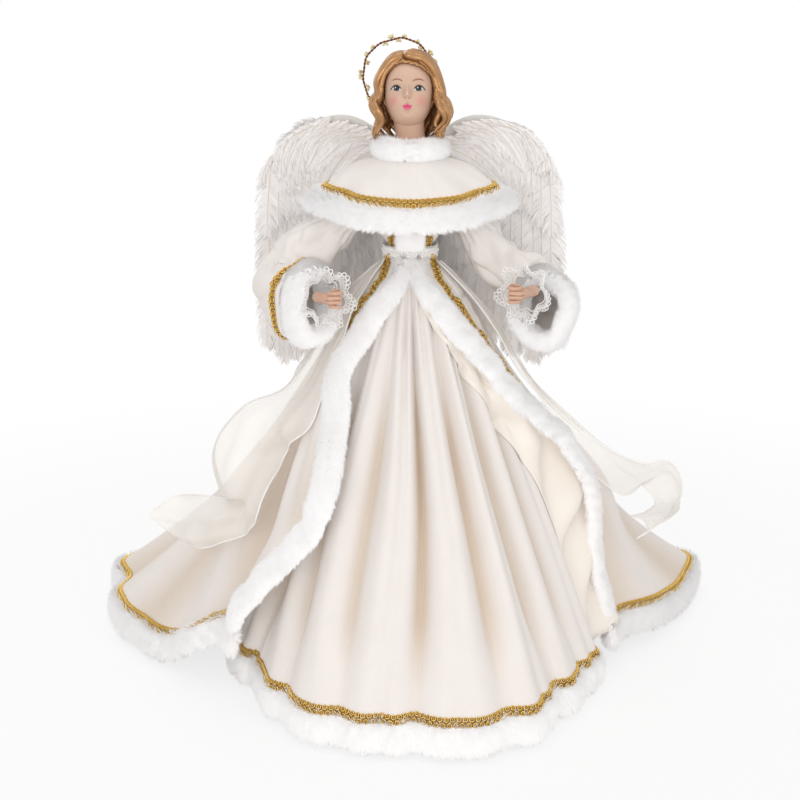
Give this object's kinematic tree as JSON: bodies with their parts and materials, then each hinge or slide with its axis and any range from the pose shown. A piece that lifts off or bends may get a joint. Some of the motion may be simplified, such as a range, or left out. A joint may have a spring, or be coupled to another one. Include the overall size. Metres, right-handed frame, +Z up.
{
  "type": "angel tree topper",
  "caption": "Tree-top angel in a cream velvet gown and fur-trimmed open robe, with feather wings, a beaded wire halo and posable arms, on a hollow cone.",
  "frame": {"origin": "centre of the support cone's mouth, on the surface it stands on", "axes": "+Z up the cone's axis, the figure faces -Y, +X to the viewer's right"},
  "size_m": [0.4157, 0.3466, 0.4087],
  "materials": {
    "velvet": "cream velvet with a short nap",
    "white_fur": "white plush pile",
    "gold_braid": "looped gold lurex braid",
    "feather": "white goose feather with cream shafts",
    "satin": "ivory satin",
    "net": "stiff grey net",
    "organza": "sheer off-white organza with wired edges",
    "white_lace": "white lace",
    "skin_resin": "painted resin, satin",
    "hair_resin": "bronze-gold paint on resin",
    "copper_wire": "twisted copper wire",
    "glass_bead": "pale gold glass",
    "card": "white card",
    "cone_plastic": "plain moulded plastic",
    "foam": "white foam",
    "steel_wire": "soft annealed wire",
    "wood": "bare dowel"
  },
  "bodies": {
    "body": {"bodice": "velvet", "cape": "velvet", "skirt": "velvet", "robe": "velvet", "bodice_fur": "white_fur", "cape_collar_fur": "white_fur", "cape_hem_fur": "white_fur", "skirt_hem_fur": "white_fur", "robe_edge_fur_left": "white_fur", "robe_edge_fur_right": "white_fur", "robe_hem_fur": "white_fur", "bodice_braid_left": "gold_braid", "bodice_braid_right": "gold_braid", "cape_braid": "gold_braid", "skirt_braid": "gold_braid", "robe_edge_braid_left": "gold_braid", "robe_edge_braid_right": "gold_braid", "robe_hem_braid": "gold_braid", "robe_lining": "satin", "petticoat": "net", "sash_left": "organza", "sash_right": "organza", "belt": "white_lace", "head": "skin_resin", "hair": "hair_resin", "wing_plate": "card", "support_cone": "cone_plastic", "torso_core": "foam", "neck_dowel": "wood"},
    "left_arm": {"arm_wire_left": "steel_wire", "arm_padding_left": "foam", "sleeve_left": "velvet", "cuff_fur_left": "white_fur", "cuff_braid_left": "gold_braid"},
    "left_hand": {"hand_left": "skin_resin", "lace_cuff_left": "white_lace"},
    "left_wing": {"coverts_left": "feather", "secondaries_left": "feather", "primaries_left": "feather", "wing_card_left": "card"},
    "right_arm": {"arm_wire_right": "steel_wire", "arm_padding_right": "foam", "sleeve_right": "velvet", "cuff_fur_right": "white_fur", "cuff_braid_right": "gold_braid"},
    "right_hand": {"hand_right": "skin_resin", "lace_cuff_right": "white_lace"},
    "right_wing": {"coverts_right": "feather", "secondaries_right": "feather", "primaries_right": "feather", "wing_card_right": "card"},
    "halo": {"halo_wire": "copper_wire", "halo_beads": "glass_bead"}
  },
  "joints": [
    {"name": "left_arm_swing", "type": "hinge", "parent": "body", "child": "left_arm", "pos_m": [-0.0255, 0, 0.306], "axis": [0, 0, 1], "range_deg": [-10, 3]},
    {"name": "left_hand_turn", "type": "hinge", "parent": "left_arm", "child": "left_hand", "pos_m": [-0.053, -0.059, 0.256], "axis": [0.4208, -0.9016, 0.1002], "range_deg": [-35, 35]},
    {"name": "left_wing_fold", "type": "hinge", "parent": "body", "child": "left_wing", "pos_m": [-0.009, 0.0372, 0.32], "axis": [0, 0, -1], "range_deg": [0, 25]},
    {"name": "right_arm_swing", "type": "hinge", "parent": "body", "child": "right_arm", "pos_m": [0.0255, 0, 0.306], "axis": [0, 0, -1], "range_deg": [-10, 3]},
    {"name": "right_hand_turn", "type": "hinge", "parent": "right_arm", "child": "right_hand", "pos_m": [0.071, -0.0555, 0.259], "axis": [-0.502, -0.8634, 0.0502], "range_deg": [-35, 35]},
    {"name": "right_wing_fold", "type": "hinge", "parent": "body", "child": "right_wing", "pos_m": [0.009, 0.0372, 0.32], "axis": [0, 0, 1], "range_deg": [0, 25]},
    {"name": "halo_tilt", "type": "hinge", "parent": "body", "child": "halo", "pos_m": [0, 0.021, 0.3458], "axis": [-1, 0, 0], "range_deg": [-4, 20]}
  ]
}
